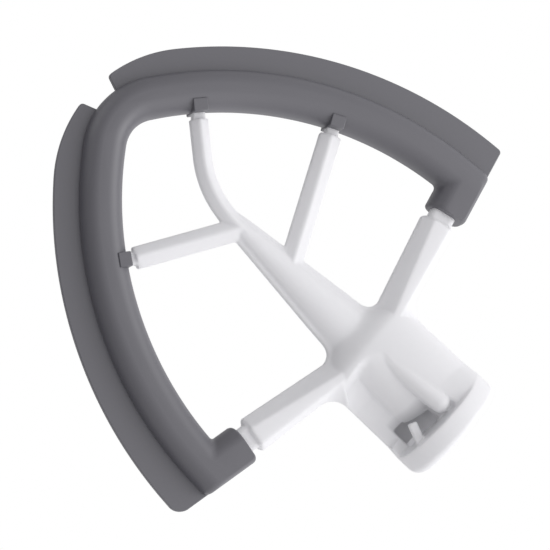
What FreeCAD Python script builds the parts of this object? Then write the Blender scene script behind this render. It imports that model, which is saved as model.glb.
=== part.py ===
import FreeCAD, Part
import math
import os

# Stand mixer flat beater: a coated metal casting and the silicone edge moulded round its rim.
# The origin is the centre of the hub's end face, +Z points up the mixer shaft, the blade lies in the
# XZ plane and -Y is its front. Lengths are in millimetres and angles in degrees.

# Rim and silicone sleeve: each side follows one arc, whose centre lies beyond the shaft axis
rim_centre_x = 50.8
rim_centre_z = -41.2
sleeve_inner_radius = 101.8
sleeve_width = 12.0
sleeve_thickness = 11.0
sleeve_front_inset = 5.0
sleeve_front_round = 6.0
sleeve_back_inset = 3.4
sleeve_back_round = 3.4
sleeve_outer_tip_round = 23.0
sleeve_inner_tip_round = 10.0
sleeve_end_round = 3.0
end_round_share = 0.35
sleeve_section_angles = (-75.0, -50.0, -25.0, 25.0, 50.0, 75.0)
silicone_wall = 3.2
rim_end_round = 1.0

# Wiper flaps
flap_width = 11.7
flap_thickness = 2.2
flap_offset = 2.6
flap_root = 2.0
flap_shift = -2.2
flap_lift = 4.1
flap_tip_radius = 41.0
flap_gap_outer = 11.4
flap_gap_inner = 6.6
flap_gap_offset = -0.9
flap_gap_round = 1.2
flap_end_round_left = 4.0
flap_end_round_right = 1.2

# Sleeve returns round the arm ends
arm_droop = 12.6
neck_x = 44.8
neck_z = -45.2
return_width = 12.0
return_shift = 0.6
return_round = 1.8
return_inner_round = 1.4

# Square collars where the spokes enter the sleeve
pad_width = 4.2
pad_depth = 4.4
pad_proud = 0.9
pad_thickness = 10.4

# Arms
arm_end_gap = 2.9
arm_end_width = 10.8
arm_end_height = 8.8
arm_end_tip_flank = 3.2
arm_end_hub_flank = 2.1
arm_end_chamfer = 0.7
arm_root_width = 8.1
arm_root_height = 13.6
arm_root_tip_flank = 4.7
arm_root_hub_flank = 2.0
arm_root_x = 3.0
arm_edge = 2.2
arm_ridge_round = 0.8
neck_width = 7.4
neck_height = 6.0
neck_round = 1.5
neck_reach = 12.0

# Spine
spine_root_z = -37.4
spine_root_width = 18.7
spine_root_height = 11.0
spine_end_z = -86.9
spine_end_width = 6.9
spine_end_height = 6.0
spine_lip = 1.2
spine_lip_height = 2.6

# Spokes
spoke_width = 6.5
spoke_height = 6.4
spoke_edge = 2.0
spoke_ridge = 0.9
spoke_round = 0.6
spoke_shoulder_gap = 1.3
spoke_end_chamfer = 0.6
spoke_neck_width = 3.7
spoke_neck_height = 4.0
left_spoke_rim_angle = 38.0
left_spoke_root_z = -86.2
second_spoke_rim_angle = 26.1
second_spoke_root_z = -67.5
curved_spoke_width = 5.4
curved_spoke_slant = 48.5
curved_spoke_bend = 30.0
curved_spoke_bend_z = -88.0
curved_spoke_root_z = -81.4

# Hub and collar
hub_radius = 16.8
hub_ledge = 0.3
hub_neck_height = 28.6
hub_waist_z = -36.4
hub_waist_height = 18.0
hub_foot_z = -46.0
hub_foot_width = 12.0
hub_foot_height = 8.4
hub_foot_steps = 4
collar_height = 8.2
collar_round = 2.9
collar_front_round = 8.5
collar_section_angles = (0.0, 22.5, 45.0, 67.5, 90.0)

# Shaft bore, pin slot and pin chamber
bore_radius = 6.6
bore_depth = 31.0
pin_slot_width = 4.8
pin_reach = 12.2
chamber_depth = 5.8
chamber_turn = 72.0

# Relief of the hub's front, repeated half a turn round on its back
finger_x = -0.2
finger_radius = 2.8
finger_start_y = -7.2
finger_start_z = -33.5
finger_end_y = -11.6
finger_end_z = -11.8
finger_relief = 1.2
tube_wall = 2.8
relief_reach_y = -20.0
channel_x = 0.0
channel_wall_x = 75.0
channel_start_z = -35.0
channel_start_y = -9.4
channel_start_groove_x = 7.0
channel_start_groove_y = -8.7
channel_middle_z = -27.0
channel_middle_y = -5.0
channel_middle_groove_x = 9.2
channel_middle_groove_y = -2.0
channel_end_y = -3.0
channel_end_groove_x = 9.6
channel_end_groove_y = -0.8
pocket_inner_x = -2.0
pocket_outer_x = -15.0
pocket_start_z = -15.5
pocket_start_inner_y = -12.8
pocket_start_outer_y = -9.5
pocket_end_inner_y = -10.0
pocket_end_outer_y = -5.0
lug_x = 8.4
lug_y = -9.0
lug_width = 2.0
lug_length = 5.2

# Fillets of the casting in its own plane, and how far their roots sink into what they join
hub_fillet = 2.6
spine_fillet = 3.8
fillet_root = 1.2

# Points nearer than this are one place
same_place = 0.001


def at(x, z, y=0.0):
    """Point of the blade plane at a depth."""
    return FreeCAD.Vector(x, y, z)


def line(a, b):
    return Part.LineSegment(a, b).toShape()


def arc(centre, a, b):
    """Short arc from a to b about a centre."""
    middle = (a - centre).normalize() + (b - centre).normalize()
    return Part.Arc(a, centre + middle.normalize() * (a - centre).Length, b).toShape()


def mirrored(shape):
    """The shape's image on the other side of the shaft axis."""
    return shape.mirror(FreeCAD.Vector(0, 0, 0), FreeCAD.Vector(1, 0, 0))


def half_turn(shape):
    """A copy turned half round the shaft axis."""
    copy = shape.copy()
    copy.rotate(FreeCAD.Vector(0, 0, 0), FreeCAD.Vector(0, 0, 1), 180)
    return copy


def slab(wire, thickness, offset=0.0):
    """Plate of a wire of the blade plane, centred on a depth."""
    plate = Part.Face(wire).extrude(FreeCAD.Vector(0, thickness, 0))
    plate.translate(FreeCAD.Vector(0, offset - thickness / 2, 0))
    return plate


def oval(width, height, z):
    """Ellipse across the shaft axis, wider in X than in Y."""
    return Part.Wire(Part.Ellipse(FreeCAD.Vector(0, 0, z), width / 2, height / 2).toShape())


def arm_frame():
    """End of the sleeve on the arm's axis, the outward direction and the one across it towards the hub."""
    droop = math.radians(arm_droop)
    along = at(math.cos(droop), -math.sin(droop))
    across = at(math.sin(droop), math.cos(droop))
    return at(neck_x, neck_z), along, across


def meet_circle(centre, radius, point, direction):
    """Far crossing of a circle by the line through a point."""
    foot = point + direction * (centre - point).dot(direction)
    return foot + direction * math.sqrt(radius ** 2 - (foot - centre).Length ** 2)


def corner(point, before, after, radius):
    """Tangent points and centre of a round where two straight lines meet."""
    back = (before - point).normalize()
    ahead = (after - point).normalize()
    half = back.getAngle(ahead) / 2
    reach = radius / math.tan(half)
    centre = point + (back + ahead).normalize() * (radius / math.sin(half))
    return point + back * reach, point + ahead * reach, centre


def rounded_wire(points, radii):
    """Closed wire through points, each corner rounded by its own radius."""
    count = len(points)
    rounds = [corner(points[i], points[i - 1], points[(i + 1) % count], radii[i]) for i in range(count)]
    edges = []
    for i, (start, end, centre) in enumerate(rounds):
        edges.append(arc(centre, start, end))
        edges.append(line(end, rounds[(i + 1) % count][0]))
    return Part.Wire(edges)


def tip_centre(centre, side_radius, tip_radius):
    """Centre, on the shaft axis, of a tip arc that runs into a side arc."""
    return at(0, centre.z - math.sqrt((side_radius - tip_radius) ** 2 - centre.x ** 2))


def rim_wire(inset, end_inset, depth, end_round):
    """Outline of the sleeve at one depth, drawn in by an inset, and by another at its ends."""
    neck, along, across = arm_frame()
    centre = at(-rim_centre_x, rim_centre_z)
    inner = sleeve_inner_radius + inset
    outer = sleeve_inner_radius + sleeve_width - inset
    middle = neck + across * return_shift + along * end_inset
    hub_side = middle + across * (return_width / 2 - end_inset)
    tip_side = middle - across * (return_width / 2 - inset)

    tip = tip_centre(centre, sleeve_inner_radius + sleeve_width, sleeve_outer_tip_round)
    tip_round = sleeve_outer_tip_round - inset
    tip_arc = centre + (tip - centre).normalize() * outer
    end = meet_circle(centre, outer - sleeve_end_round, hub_side - across * sleeve_end_round, along)
    end_arc = centre + (end - centre).normalize() * outer
    end_flat = end + across * sleeve_end_round
    hub_corner = corner(hub_side, hub_side + along, tip_side, end_round)
    tip_corner = corner(tip_side, hub_side, tip_side + along, end_round)
    nook = meet_circle(centre, inner - return_inner_round, tip_side - across * return_inner_round, along)
    nook_arc = centre + (nook - centre).normalize() * inner
    nook_flat = nook + across * return_inner_round
    bend = tip_centre(centre, sleeve_inner_radius, sleeve_inner_tip_round)
    bend_round = sleeve_inner_tip_round + inset
    bend_arc = centre + (bend - centre).normalize() * inner

    edges = [
        arc(tip, tip + at(0, -tip_round), tip_arc),
        arc(centre, tip_arc, end_arc),
        arc(end, end_arc, end_flat),
        line(end_flat, hub_corner[0]),
        arc(hub_corner[2], hub_corner[0], hub_corner[1]),
        line(hub_corner[1], tip_corner[0]),
        arc(tip_corner[2], tip_corner[0], tip_corner[1]),
        line(tip_corner[1], nook_flat),
        arc(nook, nook_flat, nook_arc),
        arc(centre, nook_arc, bend_arc),
        arc(bend, bend_arc, bend + at(0, -bend_round)),
    ]
    edges += [mirrored(edge) for edge in reversed(edges)]
    wire = Part.Wire(edges)
    wire.translate(at(0, 0, depth))
    return wire


def rim():
    """Metal rim inside the sleeve."""
    outline = rim_wire(silicone_wall, silicone_wall, 0.0, rim_end_round)
    return slab(outline, sleeve_thickness - 2 * silicone_wall)


def sleeve():
    """Silicone sleeve, lofted through outlines that draw in towards its back and its crowned front."""
    front_edge = sleeve_front_round - sleeve_thickness / 2
    back_edge = sleeve_thickness / 2 - sleeve_back_round
    sections = []
    for degrees in sleeve_section_angles:
        swing = math.radians(degrees)
        if degrees < 0:
            inset = sleeve_front_inset * (1 - math.cos(swing))
            depth = front_edge + sleeve_front_round * math.sin(swing)
        else:
            inset = sleeve_back_inset * (1 - math.cos(swing))
            depth = back_edge + sleeve_back_round * math.sin(swing)
        sections.append(rim_wire(inset, inset * end_round_share, depth, return_round))
    return Part.makeLoft(sections, True, False)


def upright_edges(solid, places):
    """Edges of a plate that run through its thickness at the given places."""
    found = []
    for edge in solid.Edges:
        ends = [vertex.Point for vertex in edge.Vertexes]
        for place in places:
            if len(ends) == 2 and all(math.hypot(p.x - place.x, p.z - place.z) < same_place for p in ends):
                found.append(edge)
    return found


def flap(end_round, gap_offset):
    """Thin wiper flap of one side, rooted in the sleeve, with the tip gap moved towards it by an offset."""
    neck, along, across = arm_frame()
    hub_side = neck + across * (return_shift + return_width / 2)
    root_centre = at(-rim_centre_x, rim_centre_z)
    centre = root_centre + at(flap_shift, flap_lift)
    sleeve_outer = sleeve_inner_radius + sleeve_width
    outer = sleeve_outer + flap_width
    root = sleeve_outer - flap_root
    tip = tip_centre(centre, outer, flap_tip_radius)
    root_tip = tip_centre(root_centre, sleeve_outer, sleeve_outer_tip_round)
    root_tip_radius = sleeve_outer_tip_round - flap_root
    gap_outer = meet_circle(tip, flap_tip_radius, at(flap_gap_outer / 2 + gap_offset, 0), at(0, -1))
    gap_inner = meet_circle(root_tip, root_tip_radius, at(flap_gap_inner / 2 + gap_offset, 0), at(0, -1))
    tip_arc = centre + (tip - centre).normalize() * outer
    root_arc = root_centre + (root_tip - root_centre).normalize() * root
    end_outer = meet_circle(centre, outer, hub_side, along)
    end_inner = meet_circle(root_centre, root, hub_side, along)
    outline = Part.Wire([
        line(gap_inner, gap_outer),
        arc(tip, gap_outer, tip_arc),
        arc(centre, tip_arc, end_outer),
        line(end_outer, end_inner),
        arc(root_centre, end_inner, root_arc),
        arc(root_tip, root_arc, gap_inner),
    ])
    plate = slab(outline, flap_thickness, flap_offset)
    plate = plate.makeFillet(flap_gap_round, upright_edges(plate, [gap_outer]))
    plate = plate.makeFillet(end_round, upright_edges(plate, [end_outer]))
    return plate


def ridged_wire(point, across, front, radius):
    """Round-cornered section about a point from half an outline, given across it and by depth."""
    half = [(t, -depth) for t, depth in front]
    profile = half + list(reversed(front))
    points = [point + across * t + FreeCAD.Vector(0, depth, 0) for t, depth in profile]
    return rounded_wire(points, [radius] * len(points))


def spoke_section(point, along, width, height, edge, ridge, radius):
    """Ridged section across a spoke, flat-topped by its ridge."""
    across = along.cross(FreeCAD.Vector(0, 1, 0))
    front = [
        (-width / 2, edge / 2),
        (-ridge / 2, height / 2),
        (ridge / 2, height / 2),
        (width / 2, edge / 2),
    ]
    return ridged_wire(point, across, front, radius)


def block_section(point, along, width, height, radius):
    """Round-cornered rectangular section across a direction of the blade plane."""
    across = along.cross(FreeCAD.Vector(0, 1, 0))
    return ridged_wire(point, across, [(-width / 2, height / 2), (width / 2, height / 2)], radius)


def spoke_neck(contact, along):
    """Thin neck from a spoke's shoulder into the rim."""
    start = contact - along * (spoke_shoulder_gap + pad_proud + spoke_edge)
    run = spoke_shoulder_gap + pad_proud + spoke_edge + sleeve_width / 2
    section = block_section(start, along, spoke_neck_width, spoke_neck_height, spoke_round)
    return Part.Face(section).extrude(along * run)


def pad(contact):
    """Square collar of the sleeve round a spoke's neck."""
    centre = at(-rim_centre_x, rim_centre_z)
    outward = (contact - centre).normalize()
    start = contact - outward * pad_proud
    section = block_section(start, outward, pad_width, pad_thickness, spoke_round)
    return Part.Face(section).extrude(outward * (pad_proud + pad_depth))


def rim_contact(angle):
    """Point of the sleeve's inner edge at an angle below the horizontal through the rim's centre."""
    swing = math.radians(angle)
    return at(-rim_centre_x, rim_centre_z) + at(math.cos(swing), -math.sin(swing)) * sleeve_inner_radius


def spoke_end(contact, along, width):
    """Chamfered end of a spoke, short of the sleeve by the shoulder gap, and where its chamfer starts."""
    end = contact - along * (spoke_shoulder_gap + pad_proud)
    start = end - along * spoke_end_chamfer
    draw_in = 2 * spoke_end_chamfer
    full = spoke_section(start, along, width, spoke_height, spoke_edge, spoke_ridge, spoke_round)
    small = spoke_section(
        end, along, width - draw_in, spoke_height - draw_in, spoke_edge, spoke_ridge, spoke_round)
    return start, Part.makeLoft([full, small], True, True)


def straight_spoke(root_z, rim_angle):
    """Spoke from the shaft axis to the sleeve, with its neck."""
    contact = rim_contact(rim_angle)
    root = at(0, root_z)
    along = (contact - root).normalize()
    start, tip = spoke_end(contact, along, spoke_width)
    section = spoke_section(root, along, spoke_width, spoke_height, spoke_edge, spoke_ridge, spoke_round)
    body = Part.Face(section).extrude(start - root)
    return body.fuse([tip, spoke_neck(contact, along)])


def curved_spoke_path():
    """Root, bend start, bend end and sleeve contact of the bent spoke, and its outward slant."""
    slant = math.radians(curved_spoke_slant)
    centre = at(curved_spoke_bend, curved_spoke_bend_z)
    bend_end = at(0, curved_spoke_bend_z)
    along = at(math.cos(slant), -math.sin(slant))
    bend_start = centre - at(math.sin(slant), math.cos(slant)) * curved_spoke_bend
    contact = meet_circle(at(-rim_centre_x, rim_centre_z), sleeve_inner_radius, bend_start, along)
    return centre, bend_end, bend_start, contact, along


def curved_spoke():
    """Spoke that leaves the spine along the shaft axis and bends out to the sleeve, with its neck."""
    centre, bend_end, bend_start, contact, along = curved_spoke_path()
    root = at(0, curved_spoke_root_z)
    start, tip = spoke_end(contact, along, curved_spoke_width)
    path = Part.Wire([line(root, bend_end), arc(centre, bend_end, bend_start), line(bend_start, start)])
    section = spoke_section(
        root, at(0, -1), curved_spoke_width, spoke_height, spoke_edge, spoke_ridge, spoke_round)
    body = path.makePipeShell([section], True, False)
    return body.fuse([tip, spoke_neck(contact, along)])


def arm_section(point, across, width, height, tip_flank, hub_flank):
    """Roof-shaped section of an arm, the same on both faces."""
    front = [
        (-width / 2, arm_edge / 2),
        (tip_flank - width / 2, height / 2),
        (width / 2 - hub_flank, height / 2),
        (width / 2, arm_edge / 2),
    ]
    return ridged_wire(point, across, front, arm_ridge_round)


def arm_ends():
    """Blunt outer end and buried root of the arm's axis."""
    neck, along, across = arm_frame()
    end = neck - along * arm_end_gap
    root = neck + along * ((arm_root_x - neck_x) / along.x)
    return end, root


def arm():
    """Arm with the neck that carries the rim."""
    neck, along, across = arm_frame()
    end, root = arm_ends()
    draw_in = 2 * arm_end_chamfer
    inner = arm_section(
        root, across, arm_root_width, arm_root_height, arm_root_tip_flank, arm_root_hub_flank)
    shoulder = end - along * arm_end_chamfer
    outer = arm_section(
        shoulder, across, arm_end_width, arm_end_height, arm_end_tip_flank, arm_end_hub_flank)
    tip = arm_section(
        end, across, arm_end_width - draw_in, arm_end_height - draw_in, arm_end_tip_flank, arm_end_hub_flank)
    body = Part.makeLoft([inner, outer, tip], True, True)
    neck_section = block_section(end - along * arm_edge, along, neck_width, neck_height, neck_round)
    return body.fuse(Part.Face(neck_section).extrude(along * (arm_edge + arm_end_gap + neck_reach)))


def spine_section(z, width, height):
    """Crowned section of the spine with a thin lip along both edges."""
    half = width / 2
    crown = half - spine_lip
    lip = spine_lip_height / 2
    front = [
        at(-half, z, -lip),
        at(-crown, z, -lip),
        at(0, z, -height / 2),
        at(crown, z, -lip),
        at(half, z, -lip),
    ]
    back = [FreeCAD.Vector(p.x, -p.y, p.z) for p in front]
    return Part.Wire([
        line(front[0], front[1]),
        Part.Arc(front[1], front[2], front[3]).toShape(),
        line(front[3], front[4]),
        line(front[4], back[4]),
        line(back[4], back[3]),
        Part.Arc(back[3], back[2], back[1]).toShape(),
        line(back[1], back[0]),
        line(back[0], front[0]),
    ])


def spine():
    """Tapered spine from the hub towards the tip."""
    root = spine_section(spine_root_z, spine_root_width, spine_root_height)
    end = spine_section(spine_end_z, spine_end_width, spine_end_height)
    return Part.makeLoft([root, end], True, True)


def crossing(p, p_direction, q, q_direction):
    """Crossing of two lines of the blade plane."""
    turn = p_direction.x * q_direction.z - p_direction.z * q_direction.x
    gap = q - p
    return p + p_direction * ((gap.x * q_direction.z - gap.z * q_direction.x) / turn)


def gusset(p, p_direction, q, q_direction, radius):
    """Thin concave fillet between two edges of the blade plane, rooted in both."""
    point = crossing(p, p_direction, q, q_direction)
    start, end, centre = corner(point, point + p_direction, point + q_direction, radius)
    sink = (point - centre).normalize() * fillet_root
    outline = Part.Wire([
        arc(centre, start, end),
        line(end, end + sink),
        line(end + sink, point + sink),
        line(point + sink, start + sink),
        line(start + sink, start),
    ])
    return slab(outline, arm_edge)


def gussets():
    """Fillets of one arm against the hub and against the spine."""
    neck, along, across = arm_frame()
    end, root = arm_ends()
    hub_edge = root + across * (arm_root_width / 2)
    hub_run = (end + across * (arm_end_width / 2) - hub_edge).normalize()
    tip_edge = root - across * (arm_root_width / 2)
    tip_run = (end - across * (arm_end_width / 2) - tip_edge).normalize()
    spine_edge = at(spine_root_width / 2, spine_root_z)
    spine_run = (at(spine_end_width / 2, spine_end_z) - spine_edge).normalize()
    return [
        gusset(hub_edge, hub_run, at(hub_radius - hub_ledge, 0), at(0, 1), hub_fillet),
        gusset(tip_edge, tip_run, spine_edge, spine_run, spine_fillet),
    ]


def hub_foot():
    """Foot of the hub, eased in from the waist to the spine."""
    sections = []
    hub_width = 2 * (hub_radius - hub_ledge)
    for step in range(hub_foot_steps + 1):
        share = step / hub_foot_steps
        ease = (1 - math.cos(math.pi * share)) / 2
        width = hub_width + (hub_foot_width - hub_width) * ease
        height = hub_waist_height + (hub_foot_height - hub_waist_height) * ease
        sections.append(oval(width, height, hub_waist_z + (hub_foot_z - hub_waist_z) * share))
    return Part.makeLoft(sections, True, False)


def collar_end():
    """Rounded end of the collar, drawn in further at the front and back than at the sides."""
    sections = []
    for degrees in collar_section_angles:
        swing = math.radians(degrees)
        width = 2 * (hub_radius - collar_round * (1 - math.cos(swing)))
        height = 2 * (hub_radius - collar_front_round * (1 - math.cos(swing)))
        sections.append(oval(width, height, collar_round * (math.sin(swing) - 1)))
    return Part.makeLoft(sections, True, False)


def hub():
    """Hub body that flares from the arms to the collar, and the round collar."""
    hub_width = 2 * (hub_radius - hub_ledge)
    waist = oval(hub_width, hub_waist_height, hub_waist_z)
    neck = oval(hub_width, hub_neck_height, -collar_height)
    body = Part.makeLoft([waist, neck], True, True).fuse(hub_foot())
    band = Part.makeCylinder(hub_radius, collar_height - collar_round, at(0, -collar_height))
    return body.fuse([band, collar_end()])


def bore():
    """Shaft bore and the slot that the shaft's cross pin goes down."""
    hole = Part.makeCylinder(bore_radius, bore_depth, at(0, -bore_depth))
    slot_height = collar_height + chamber_depth
    slot_corner = at(-pin_reach, -slot_height, -pin_slot_width / 2)
    slot = Part.makeBox(2 * pin_reach, pin_slot_width, slot_height, slot_corner)
    return hole.fuse(slot)


def relief_section(z, near_x, near_y, far_x, far_y, wall_x):
    """Section of a relief that is open to the front, with a near and a far corner in its floor."""
    points = [(near_x, relief_reach_y), (near_x, near_y), (far_x, far_y), (wall_x, relief_reach_y)]
    return Part.makePolygon([at(x, z, y) for x, y in points + points[:1]])


def front_cuts():
    """Relief of the hub's front: pin chamber, channel beside the tube, pocket and the finger's clearance."""
    ledge = -collar_height
    chamber = Part.makeCylinder(
        pin_reach, chamber_depth, at(0, ledge - chamber_depth), FreeCAD.Vector(0, 0, 1), chamber_turn)
    chamber.rotate(FreeCAD.Vector(0, 0, 0), FreeCAD.Vector(0, 0, 1), -chamber_turn)
    channel = Part.makeLoft([
        relief_section(
            channel_start_z, channel_x, channel_start_y, channel_start_groove_x, channel_start_groove_y,
            channel_wall_x),
        relief_section(
            channel_middle_z, channel_x, channel_middle_y, channel_middle_groove_x, channel_middle_groove_y,
            channel_wall_x),
        relief_section(
            ledge, channel_x, channel_end_y, channel_end_groove_x, channel_end_groove_y, channel_wall_x),
    ], True, True)
    tube = Part.makeCylinder(bore_radius + tube_wall, -channel_start_z, at(0, channel_start_z))
    pocket = Part.makeLoft([
        relief_section(
            pocket_start_z, pocket_inner_x, pocket_start_inner_y, pocket_outer_x, pocket_start_outer_y,
            pocket_outer_x),
        relief_section(
            ledge, pocket_inner_x, pocket_end_inner_y, pocket_outer_x, pocket_end_outer_y, pocket_outer_x),
    ], True, True)
    relief_width = 2 * (finger_radius + finger_relief)
    relief = Part.makeBox(
        relief_width, hub_radius + finger_end_y, ledge - finger_end_z + finger_relief,
        at(finger_x - relief_width / 2, finger_end_z - finger_relief, -hub_radius))
    return [chamber, channel.cut(tube), pocket, relief]


def front_ribs():
    """Finger on the hub's front and the small lug that keeps the pin from turning back."""
    start = at(finger_x, finger_start_z, finger_start_y)
    end = at(finger_x, finger_end_z, finger_end_y)
    finger = Part.makeCylinder(finger_radius, (end - start).Length, start, end - start)
    tip = Part.makeSphere(finger_radius, end)
    lug = Part.makeBox(lug_width, lug_width, lug_length, at(lug_x, -collar_height - lug_length, lug_y))
    return [finger, tip, lug]


def casting():
    """The whole metal casting."""
    arms = [arm(), mirrored(arm())]
    fillets = gussets()
    fillets += [mirrored(fillet) for fillet in fillets]
    spokes = [
        straight_spoke(left_spoke_root_z, left_spoke_rim_angle),
        mirrored(straight_spoke(second_spoke_root_z, second_spoke_rim_angle)),
        mirrored(curved_spoke()),
    ]
    body = hub().fuse([spine()] + arms + fillets + spokes + [rim()])
    cuts = front_cuts()
    cuts += [half_turn(cut) for cut in cuts]
    ribs = front_ribs()
    ribs += [half_turn(rib) for rib in ribs]
    return body.cut(cuts).fuse(ribs).cut(bore()).removeSplitter()


def wiper(metal):
    """The silicone edge: sleeve, collars and flaps, moulded round the metal."""
    curved_contact = curved_spoke_path()[3]
    extras = [
        flap(flap_end_round_left, flap_gap_offset),
        mirrored(flap(flap_end_round_right, -flap_gap_offset)),
        pad(rim_contact(left_spoke_rim_angle)),
        mirrored(pad(rim_contact(second_spoke_rim_angle))),
        mirrored(pad(curved_contact)),
    ]
    return sleeve().fuse(extras).cut(metal)


def main():
    os.makedirs("parts", exist_ok=True)
    metal = casting()
    edge = wiper(metal)
    for name, shape in (("beater_casting", metal), ("wiper_edge", edge)):
        print(name, shape.ShapeType, len(shape.Solids), shape.isValid(), round(shape.Volume, 1))
        shape.exportStep("parts/" + name + ".step")


main()
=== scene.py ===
import logging
import math
from dataclasses import dataclass, field
from enum import Enum
from typing import Any, Callable, Optional, Sequence, Union

import bmesh
import bpy
from mathutils import Matrix, Vector


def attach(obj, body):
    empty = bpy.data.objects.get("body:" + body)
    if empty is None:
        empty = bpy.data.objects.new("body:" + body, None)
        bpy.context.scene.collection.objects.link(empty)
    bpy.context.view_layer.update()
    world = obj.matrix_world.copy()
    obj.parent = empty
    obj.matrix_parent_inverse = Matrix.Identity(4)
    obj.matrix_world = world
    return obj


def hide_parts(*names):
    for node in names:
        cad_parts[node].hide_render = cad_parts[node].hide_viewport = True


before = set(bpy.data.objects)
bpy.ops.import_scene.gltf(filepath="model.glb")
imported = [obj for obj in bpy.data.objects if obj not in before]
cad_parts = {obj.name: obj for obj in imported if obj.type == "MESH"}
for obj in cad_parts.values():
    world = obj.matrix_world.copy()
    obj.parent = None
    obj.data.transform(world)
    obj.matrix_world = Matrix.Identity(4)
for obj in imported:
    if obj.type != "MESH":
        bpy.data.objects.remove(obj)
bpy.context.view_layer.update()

MILLIMETRE = 0.001
# Point attribute of painted shade that darkens the coat in the bore and pin chambers.
SHADE_ATTRIBUTE = "painted_recess_shade"
PATCH_DETAIL = 3.0
GRAIN_DETAIL = 2.0
SPOKE_SIZES = ("Width", "Height", "Edge", "Ridge", "Corner")
LOG = logging.getLogger("flat_beater")


class Slot(Enum):
    """Material slots of the record."""

    COAT = "white_coat"
    SILICONE = "grey_silicone"


class Node(Enum):
    """CAD nodes that the pieces stand for."""

    CASTING = "beater_casting"
    WIPER = "wiper_edge"


def ease(value: float, start: float, end: float) -> float:
    """Rises from 0 to 1 between two values."""
    return max(0.0, min(1.0, (value - start) / (end - start)))


def shares(count: int) -> list[float]:
    """Even steps from 0 to 1."""
    return [i / count for i in range(count + 1)]


def plane_point(x: float, z: float) -> Vector:
    """Point of the blade plane, in millimetres."""
    return Vector((x, z))


def at_depth(point: Vector, depth: float) -> Vector:
    """Space point at a depth from a point of the blade plane."""
    return Vector((point.x, depth, point.y))


def mirrored(points: Sequence[Vector]) -> list[Vector]:
    """Points on the other side of the shaft axis, in reverse order."""
    return [Vector((-p.x, *p[1:])) for p in reversed(points)]


def half_turned(points: Sequence[Vector]) -> list[Vector]:
    """Space points turned half round the shaft axis."""
    return [Vector((-p.x, -p.y, p.z)) for p in points]


def full_turn(count: int) -> list[float]:
    """Even angles round a circle."""
    return [2 * math.pi * i / count for i in range(count)]


def on_circle(centre: Vector, radius: float, towards: Vector) -> Vector:
    """Point of a circle in the direction of another point."""
    return centre + (towards - centre).normalized() * radius


def short_arc(centre: Vector, start: Vector, end: Vector, count: int) -> list[Vector]:
    """Samples the short arc between two points, without its last point.

    Args:
        centre: Centre of the arc, in the blade plane.
        start: First point of the arc.
        end: Point where the arc ends.
        count: Number of points to give back.

    Returns:
        Points from the start towards the end.
    """
    radius = (start - centre).length
    first = math.atan2(start.y - centre.y, start.x - centre.x)
    turn = math.atan2(end.y - centre.y, end.x - centre.x) - first
    turn = (turn + math.pi) % (2 * math.pi) - math.pi
    angles = [first + turn * i / count for i in range(count)]
    return [centre + Vector((math.cos(a), math.sin(a))) * radius for a in angles]


def run(start: Vector, end: Vector, count: int) -> list[Vector]:
    """Points along a straight run, without its last point."""
    return [start.lerp(end, i / count) for i in range(count)]


def far_crossing(centre: Vector, radius: float, point: Vector, direction: Vector) -> Vector:
    """Where a line through a point, along a unit direction, leaves a circle."""
    foot = point + direction * (centre - point).dot(direction)
    return foot + direction * math.sqrt(radius ** 2 - (foot - centre).length_squared)


def corner_round(point: Vector, before: Vector, after: Vector,
                 radius: float) -> tuple[Vector, Vector, Vector]:
    """Rounds the corner between two straight runs.

    Args:
        point: The corner.
        before: A point on the run that comes in.
        after: A point on the run that goes out.
        radius: Radius of the round.

    Returns:
        Where the round starts, where it ends and its centre.
    """
    back = (before - point).normalized()
    ahead = (after - point).normalized()
    half = back.angle(ahead) / 2
    reach = radius / math.tan(half)
    centre = point + (back + ahead).normalized() * (radius / math.sin(half))
    return point + back * reach, point + ahead * reach, centre


def rounded_loop(points: Sequence[Vector], radii: Sequence[float], count: int) -> list[Vector]:
    """Rounds every corner of a closed outline.

    Args:
        points: Corners of the outline.
        radii: Radius at each corner.
        count: Points along each round.

    Returns:
        The outline with its corners rounded.
    """
    loop: list[Vector] = []
    size = len(points)
    for i, radius in enumerate(radii):
        start, end, centre = corner_round(points[i], points[i - 1], points[(i + 1) % size], radius)
        loop += short_arc(centre, start, end, count)
        loop.append(end)
    return loop


def round_vertex(points: list[Vector], index: int, radius: float, count: int) -> list[Vector]:
    """Rounds one corner of a finely sampled closed outline.

    Args:
        points: The outline.
        index: Which of its points is the corner.
        radius: Radius of the round.
        count: Points along the round.

    Returns:
        The outline with that corner rounded.
    """
    turned = points[index:] + points[:index]
    start, end, centre = corner_round(turned[0], turned[-1], turned[1], radius)
    reach = (end - turned[0]).length
    kept = [p for p in turned[1:] if (p - turned[0]).length > reach]
    return short_arc(centre, start, end, count) + [end] + kept


def placed(name: str, data: bpy.types.ID) -> bpy.types.Object:
    """Shows some data as a new object of the scene.

    Args:
        name: Name of the object.
        data: Mesh, curve, lamp or camera that it shows.

    Returns:
        The new object.
    """
    made = bpy.data.objects.new(name, data)
    bpy.context.scene.collection.objects.link(made)
    return made


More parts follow.
